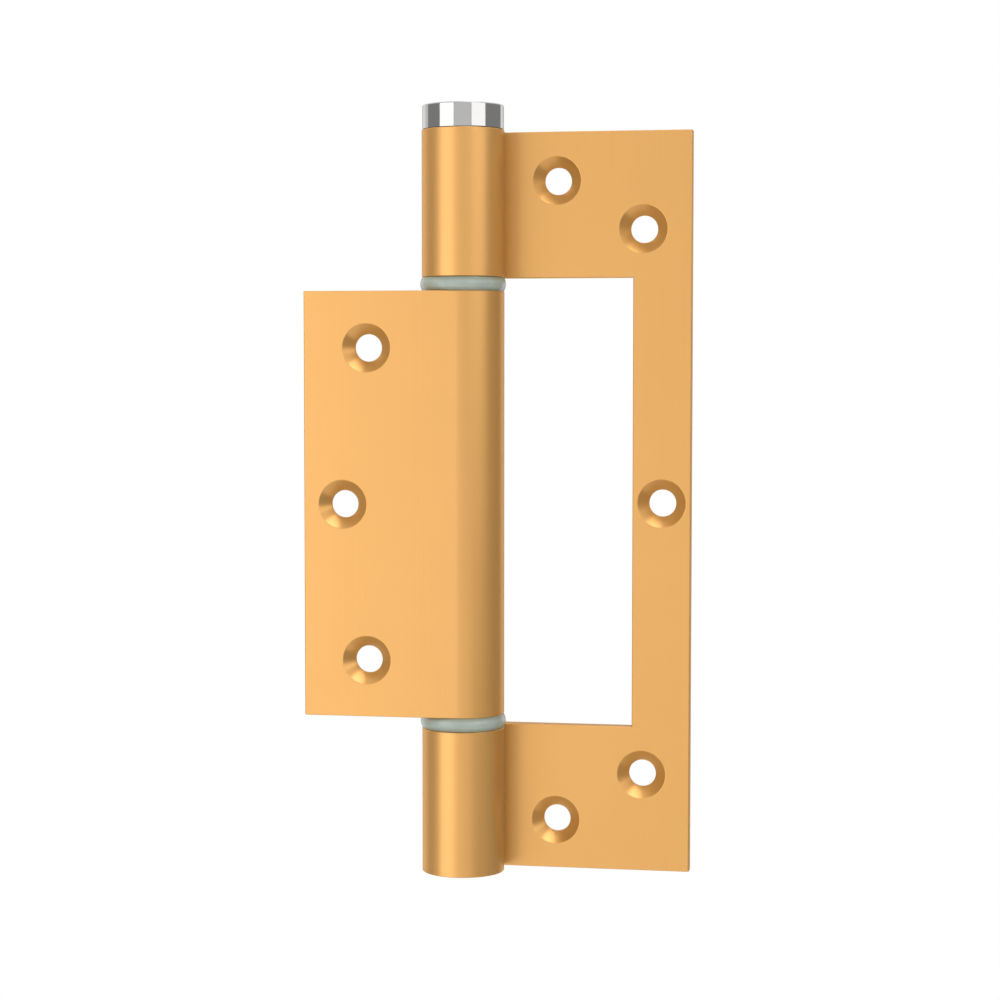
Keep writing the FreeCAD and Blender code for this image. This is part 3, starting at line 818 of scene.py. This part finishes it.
complete(spring, spring_steel, "adjuster", "torsion_spring")

# Spindle, upper holder and its dowel, thrust washer. Turned steel: the spindle carries the holder
# through the coils, and the washer takes the ring's thrust off it.
dress(turned_steel, "tension_spindle", "upper_spring_holder", "holder_pin", "thrust_washer")

# Spindle clip. An open clip of sprung steel, oil tempered as the wire is, that snaps into the
# groove in the spindle's lower end.
dress(spring_steel, "spindle_clip")

# Top cap. Steel, turned and polished bright, with a broached hexagon socket, left unpolished, for
# the key that winds the spring and a hexagon shank below that drives the spindle.
CAP = 9.85
CAP_BOTTOM = 90.1
CAP_TOP = 95.9
KEY_FLATS = 6.0
KEY_DEPTH = 4.4
KEY_LEAD = 0.3
SHANK_LENGTH = 8.0
SHANK_ROOT = 0.3
SHANK_CHAMFER = 0.4
SOCKET_REACH = 3.8
SOCKET_START = CAP_TOP - 0.02
# Inside the socket the colour is painted at half its brightness: painted shade in the recess. The
# rougher, unpolished broached finish there is real.
SOCKET_PAINTED_SHADE = 0.5
BROACHED_ROUGHNESS = 5.0

cap = lathe(
    "top_cap_turning",
    [(0, CAP_BOTTOM), (CAP, CAP_BOTTOM), (CAP, CAP_TOP), (0, CAP_TOP)],
    [(1, 0.15, 2), (2, 0.3, 5)],
    steps=160,
)
combine(cap, hexagon_tool(KEY_FLATS, CAP_TOP - KEY_DEPTH, CAP_TOP, KEY_LEAD), "DIFFERENCE")
shank = hexagon_bar(KEY_FLATS, CAP_BOTTOM - SHANK_LENGTH, CAP_BOTTOM + SHANK_ROOT)
bpy.ops.object.mode_set(mode="EDIT")
pick("FACE", lambda p: near(p.z, CAP_BOTTOM - SHANK_LENGTH))
bpy.ops.mesh.bevel(offset=SHANK_CHAMFER * MM, segments=1, affect="EDGES")
bpy.ops.object.mode_set(mode="OBJECT")
combine(cap, shank, "UNION")
set_in_place(cap, (0, 0, math.pi / 6), (0, 0, 0))

group, given, made = effect("mirror_polish")
haze = noise(group, scale=160, detail=3)
buffing = noise(group, scale=5200, detail=2, stretch=(0.03, 0.03, 1))
place = put(group, "ShaderNodeTexCoord").outputs["Object"]
upright = put(group, "ShaderNodeSeparateXYZ", {0: place}).outputs["Z"]
flat = put(group, "ShaderNodeVectorMath", {0: place, 1: (1, 1, 0)}, operation="MULTIPLY")
reach = put(group, "ShaderNodeVectorMath", {0: flat.outputs[0]}, operation="LENGTH")
near_axis = put(
    group,
    "ShaderNodeMath",
    {0: reach.outputs["Value"], 1: SOCKET_REACH * MM},
    operation="LESS_THAN",
)
sunk = put(group, "ShaderNodeMath", {0: upright, 1: SOCKET_START * MM}, operation="LESS_THAN")
broached = product(group, near_axis.outputs[0], sunk.outputs[0])
shade = product(group, spread(group, haze, 0.985, 1.01), spread(group, buffing, 0.99, 1.008))
# Painted shade inside the socket.
shade = product(group, shade, mixed(group, broached, 1.0, SOCKET_PAINTED_SHADE))
rough = mixed(group, broached, 1.0, BROACHED_ROUGHNESS)
rough = product(group, spread(group, haze, 0.8, 1.3), rough)
give_back(group, given, made, shade, rough, buffing)
polished = coated(
    "polished_steel",
    group,
    colour=(0.61, 0.605, 0.595),
    roughness=0.08,
    bump=0.02,
    depth=0.002,
    Metallic=1.0,
)
complete(cap, polished, "adjuster", "top_cap")

# Studio. A pale floor well below the hinge and a white backdrop behind it, with a wing on each
# side that metal reflects as white too. All are only staging. Plain softboxes stand round the
# hinge in a grey room. Lengths are in metres here, and the softboxes' edges in degrees.
FLOOR_SIZE = 1.8
FLOOR_LEVEL = -0.75
PANEL_HEIGHT = 2.0
PANEL_MIDDLE = 0.25
BACKDROP_WIDTH = 3.1
BACKDROP_PLACE = (-0.7, 1.12, PANEL_MIDDLE)
WING_BACK = 1.1
WINGS = {"left_wing": (1.0, -1.25), "right_wing": (0.45, 0.62)}
PALE_PAINT = (0.8, 0.8, 0.8, 1)
WHITE = (1, 1, 1, 1)


def pale_surface(name, size, place, turn, white_to):
    """A stage panel that is white to the given kinds of ray, and plain pale paint to the others."""
    bpy.ops.object.select_all(action="DESELECT")
    bpy.ops.mesh.primitive_plane_add(size=1, location=place, rotation=turn)
    panel = bpy.context.object
    panel.name = name
    panel.scale = (*size, 1)
    bpy.ops.object.transform_apply(location=True, rotation=True, scale=True)
    material = bpy.data.materials.new(name)
    material.use_nodes = True
    tree = material.node_tree
    tree.nodes.clear()
    path = put(tree, "ShaderNodeLightPath")
    seen = 0.0
    for kind in white_to:
        seen = put(
            tree, "ShaderNodeMath", {0: seen, 1: path.outputs[kind]}, operation="MAXIMUM"
        ).outputs[0]
    white = put(tree, "ShaderNodeEmission", {"Color": WHITE, "Strength": 1.0})
    paint = put(tree, "ShaderNodeBsdfDiffuse", {"Color": PALE_PAINT})
    surface = put(
        tree, "ShaderNodeMixShader", {0: seen, 1: paint.outputs[0], 2: white.outputs[0]}
    )
    put(tree, "ShaderNodeOutputMaterial", {"Surface": surface.outputs[0]})
    panel.data.materials.append(material)


standing = (math.pi / 2, 0, 0)
pale_surface(
    "floor", (FLOOR_SIZE, FLOOR_SIZE), (0, 0, FLOOR_LEVEL), (0, 0, 0), ["Is Camera Ray"]
)
pale_surface(
    "backdrop", (BACKDROP_WIDTH, PANEL_HEIGHT), BACKDROP_PLACE, standing, ["Is Camera Ray"]
)
for name, (width, middle) in WINGS.items():
    pale_surface(
        name,
        (width, PANEL_HEIGHT),
        (middle, WING_BACK, PANEL_MIDDLE),
        standing,
        ["Is Camera Ray", "Is Glossy Ray"],
    )

BOX_DISTANCE = 1.5
SOFTBOXES = {
    "side_strip": {"left": -121, "right": -106, "low": -40, "high": 55, "level": 0.45},
    "left_box": {"left": -58, "right": -15, "low": -27, "high": 19, "level": 1.42},
    "front_card": {"left": -15, "right": 34, "low": -30, "high": 15, "level": 0.48},
    "right_box": {"left": 34, "right": 76, "low": 2, "high": 22, "level": 1.25},
    "high_box": {"left": 30, "right": 92, "low": 50, "high": 90, "level": 1.5},
}


def softbox(name, left, right, low, high, level):
    """A plain area light that fills the given view from the hinge and is as bright as its level."""
    bearing = math.radians((left + right) / 2)
    lift = math.radians((low + high) / 2)
    ahead = Vector((math.sin(bearing), -math.cos(bearing), 0)) * math.cos(lift)
    place = BOX_DISTANCE * (ahead + Vector((0, 0, math.sin(lift))))
    bpy.ops.object.light_add(type="AREA", location=place)
    box = bpy.context.object
    box.name = name
    box.rotation_euler = (-place).to_track_quat("-Z", "Y").to_euler()
    width = 2 * BOX_DISTANCE * math.tan(math.radians((right - left) / 2)) * math.cos(lift)
    height = 2 * BOX_DISTANCE * math.tan(math.radians((high - low) / 2))
    box.data.shape = "RECTANGLE"
    box.data.size = width
    box.data.size_y = height
    box.data.energy = level * math.pi * width * height
    box.visible_camera = False


for name, edges in SOFTBOXES.items():
    softbox(name, **edges)

# Room. Grey walls and a pale ceiling all round, which only light and reflections see. To the
# camera it is white.
WALL_GREY = 0.29
CEILING_GREY = 0.85
WALL_TOP = 0.15
CEILING_EDGE = 0.5

world = bpy.context.scene.world or bpy.data.worlds.new("room")
bpy.context.scene.world = world
world.use_nodes = True
room = world.node_tree
room.nodes.clear()
path = put(room, "ShaderNodeLightPath")
way = put(room, "ShaderNodeTexCoord")
way = put(room, "ShaderNodeSeparateXYZ", {0: way.outputs["Generated"]})
level = put(
    room,
    "ShaderNodeMapRange",
    {
        "Value": way.outputs["Z"],
        "From Min": WALL_TOP,
        "From Max": CEILING_EDGE,
        "To Min": WALL_GREY,
        "To Max": CEILING_GREY,
    },
    interpolation_type="SMOOTHSTEP",
)
grey = put(room, "ShaderNodeBackground", {"Color": WHITE, "Strength": level.outputs["Result"]})
white = put(room, "ShaderNodeBackground", {"Color": WHITE})
both = put(
    room,
    "ShaderNodeMixShader",
    {0: path.outputs["Is Camera Ray"], 1: grey.outputs[0], 2: white.outputs[0]},
)
put(room, "ShaderNodeOutputWorld", {"Surface": both.outputs[0]})

# Camera. Its place, in metres, and its directions were fitted to the photograph's straight edges
# and hole centres: a little to the right of the hinge's front and a little above it.
LENS = 84.17
SENSOR = 36
CAMERA_PLACE = (0.10664, -0.55760, 0.03350)
CAMERA_RIGHT = (0.98503, 0.17238, 0.00055)
CAMERA_UP = (-0.01047, 0.05659, 0.99834)
CAMERA_BACK = (0.17206, -0.98340, 0.05755)

scene = bpy.context.scene
scene.view_settings.view_transform = "Standard"
bpy.ops.object.camera_add()
camera = bpy.context.object
camera.data.lens = LENS
camera.data.sensor_width = SENSOR
camera.data.clip_end = 10
turn = Matrix((CAMERA_RIGHT, CAMERA_UP, CAMERA_BACK)).transposed().to_4x4()
camera.matrix_world = Matrix.Translation(CAMERA_PLACE) @ turn
scene.camera = camera
